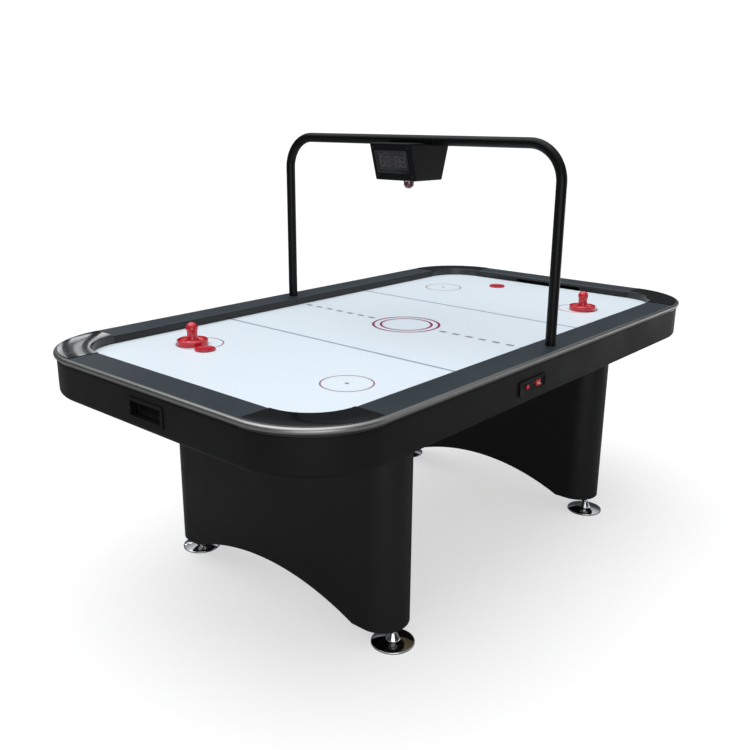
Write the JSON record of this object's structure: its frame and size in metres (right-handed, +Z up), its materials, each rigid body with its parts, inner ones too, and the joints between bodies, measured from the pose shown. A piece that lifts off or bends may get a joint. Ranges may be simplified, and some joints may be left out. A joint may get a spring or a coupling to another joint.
{
  "type": "air hockey table",
  "caption": "Air hockey table: white air-cushion playfield in rounded grey rails with bright edge trim, on two arched box legs with levelling feet, under an arch with a scorer.",
  "frame": {"origin": "on the floor, under the middle of the table", "axes": "+X along the table's length, +Y across it from the control panel side to the power jack side, +Z up"},
  "size_m": [2.134, 1.219, 1.3955],
  "materials": {
    "playfield_laminate": "board with a gloss white laminate, printed markings and air holes",
    "rail_laminate": "board with a satin slate grey laminate",
    "cap_plastic": "gloss black moulding",
    "edge_metal": "polished bright",
    "skirt_board": "board with a satin black laminate",
    "leg_board": "board with a satin black laminate",
    "bare_board": "bare fibreboard",
    "chute_plastic": "vacuum formed, matte",
    "bezel_plastic": "satin black moulding",
    "sensor_plastic": "matte moulding",
    "bolt_steel": "zinc plated",
    "foot_chrome": "chrome plated",
    "blower_plastic": "matte glass-filled moulding",
    "motor_metal": "grey enamel",
    "arch_paint": "gloss black powder coat on steel tube",
    "sleeve_steel": "plain steel tube",
    "socket_plastic": "glass-filled nylon",
    "scorer_plastic": "satin black moulding",
    "smoked_lens": "smoked acrylic",
    "digit_plastic": "dark digit blocks on a green board",
    "lamp_plastic": "dark red dome in a bright collar",
    "switch_red": "gloss red moulding",
    "circuit_board": "green solder mask",
    "jack_plastic": "matte black moulding with a bright pin",
    "striker_red": "gloss red moulding",
    "puck_red": "gloss red moulding"
  },
  "bodies": {
    "table": {"apron_corners": "skirt_board", "arch_sleeve": "sleeve_steel", "arch_sockets": "socket_plastic", "blower_grille": "blower_plastic", "blower_housing": "blower_plastic", "blower_motor": "motor_metal", "control_panel": "bezel_plastic", "cross_bearers": "bare_board", "digit_modules": "digit_plastic", "edge_trim": "edge_metal", "far_apron": "skirt_board", "far_arch_tube": "arch_paint", "far_rail": "rail_laminate", "goal_sensors": "sensor_plastic", "left_apron": "skirt_board", "left_far_corner_cap": "cap_plastic", "left_goal_box": "chute_plastic", "left_leg_ends": "leg_board", "left_leg_foot_blocks": "bare_board", "left_leg_inner_panel": "leg_board", "left_leg_outer_panel": "leg_board", "left_leg_top_plate": "bare_board", "left_near_corner_cap": "cap_plastic", "left_rail": "rail_laminate", "left_return_frame": "bezel_plastic", "leg_bolts": "bolt_steel", "leveller_inserts": "bolt_steel", "near_apron": "skirt_board", "near_arch_tube": "arch_paint", "near_rail": "rail_laminate", "panel_board": "circuit_board", "playfield": "playfield_laminate", "plenum_floor": "bare_board", "plenum_frame": "bare_board", "power_jack": "jack_plastic", "right_apron": "skirt_board", "right_far_corner_cap": "cap_plastic", "right_goal_box": "chute_plastic", "right_leg_ends": "leg_board", "right_leg_foot_blocks": "bare_board", "right_leg_inner_panel": "leg_board", "right_leg_outer_panel": "leg_board", "right_leg_top_plate": "bare_board", "right_near_corner_cap": "cap_plastic", "right_rail": "rail_laminate", "right_return_frame": "bezel_plastic", "scorer_housing": "scorer_plastic", "scorer_lamp": "lamp_plastic", "scorer_lenses": "smoked_lens"},
    "impeller": {"blower_impeller": "blower_plastic"},
    "power_rocker": {"power_switch": "switch_red"},
    "reset_key": {"reset_button": "switch_red"},
    "left_near_foot": {"left_near_leveller": "foot_chrome"},
    "left_far_foot": {"left_far_leveller": "foot_chrome"},
    "right_near_foot": {"right_near_leveller": "foot_chrome"},
    "right_far_foot": {"right_far_leveller": "foot_chrome"},
    "left_striker": {"left_striker": "striker_red"},
    "right_striker": {"right_striker": "striker_red"},
    "left_puck": {"left_puck": "puck_red"},
    "right_puck": {"right_puck": "puck_red"}
  },
  "joints": [
    {"name": "left_near_foot_screw", "type": "slide", "parent": "table", "child": "left_near_foot", "axis": [0, 0, 1], "range_m": [0, 0.02]},
    {"name": "left_far_foot_screw", "type": "slide", "parent": "table", "child": "left_far_foot", "axis": [0, 0, 1], "range_m": [0, 0.02]},
    {"name": "right_near_foot_screw", "type": "slide", "parent": "table", "child": "right_near_foot", "axis": [0, 0, 1], "range_m": [0, 0.02]},
    {"name": "right_far_foot_screw", "type": "slide", "parent": "table", "child": "right_far_foot", "axis": [0, 0, 1], "range_m": [0, 0.02]},
    {"name": "impeller_spin", "type": "hinge", "parent": "table", "child": "impeller", "pos_m": [0, 0, 0.68], "axis": [0, 0, 1], "continuous": true},
    {"name": "power_rocker_tip", "type": "hinge", "parent": "table", "child": "power_rocker", "pos_m": [-0.14, -0.596, 0.716], "axis": [1, 0, 0], "range_deg": [0, 14]},
    {"name": "reset_press", "type": "slide", "parent": "table", "child": "reset_key", "axis": [0, 1, 0], "range_m": [0, 0.0025], "stiffness_N_per_m": 300, "springref_m": -0.001},
    {"name": "left_striker_glide", "type": "slide", "parent": "table", "child": "left_striker", "axis": [1, 0, 0], "range_m": [-0.243, 0.6]},
    {"name": "right_striker_glide", "type": "slide", "parent": "table", "child": "right_striker", "axis": [1, 0, 0], "range_m": [-0.575, 0.268]},
    {"name": "left_puck_glide", "type": "slide", "parent": "table", "child": "left_puck", "axis": [0, 1, 0], "range_m": [-0.708, 0]},
    {"name": "right_puck_glide", "type": "slide", "parent": "table", "child": "right_puck", "axis": [0, 1, 0], "range_m": [-0.3, 0.3]}
  ]
}
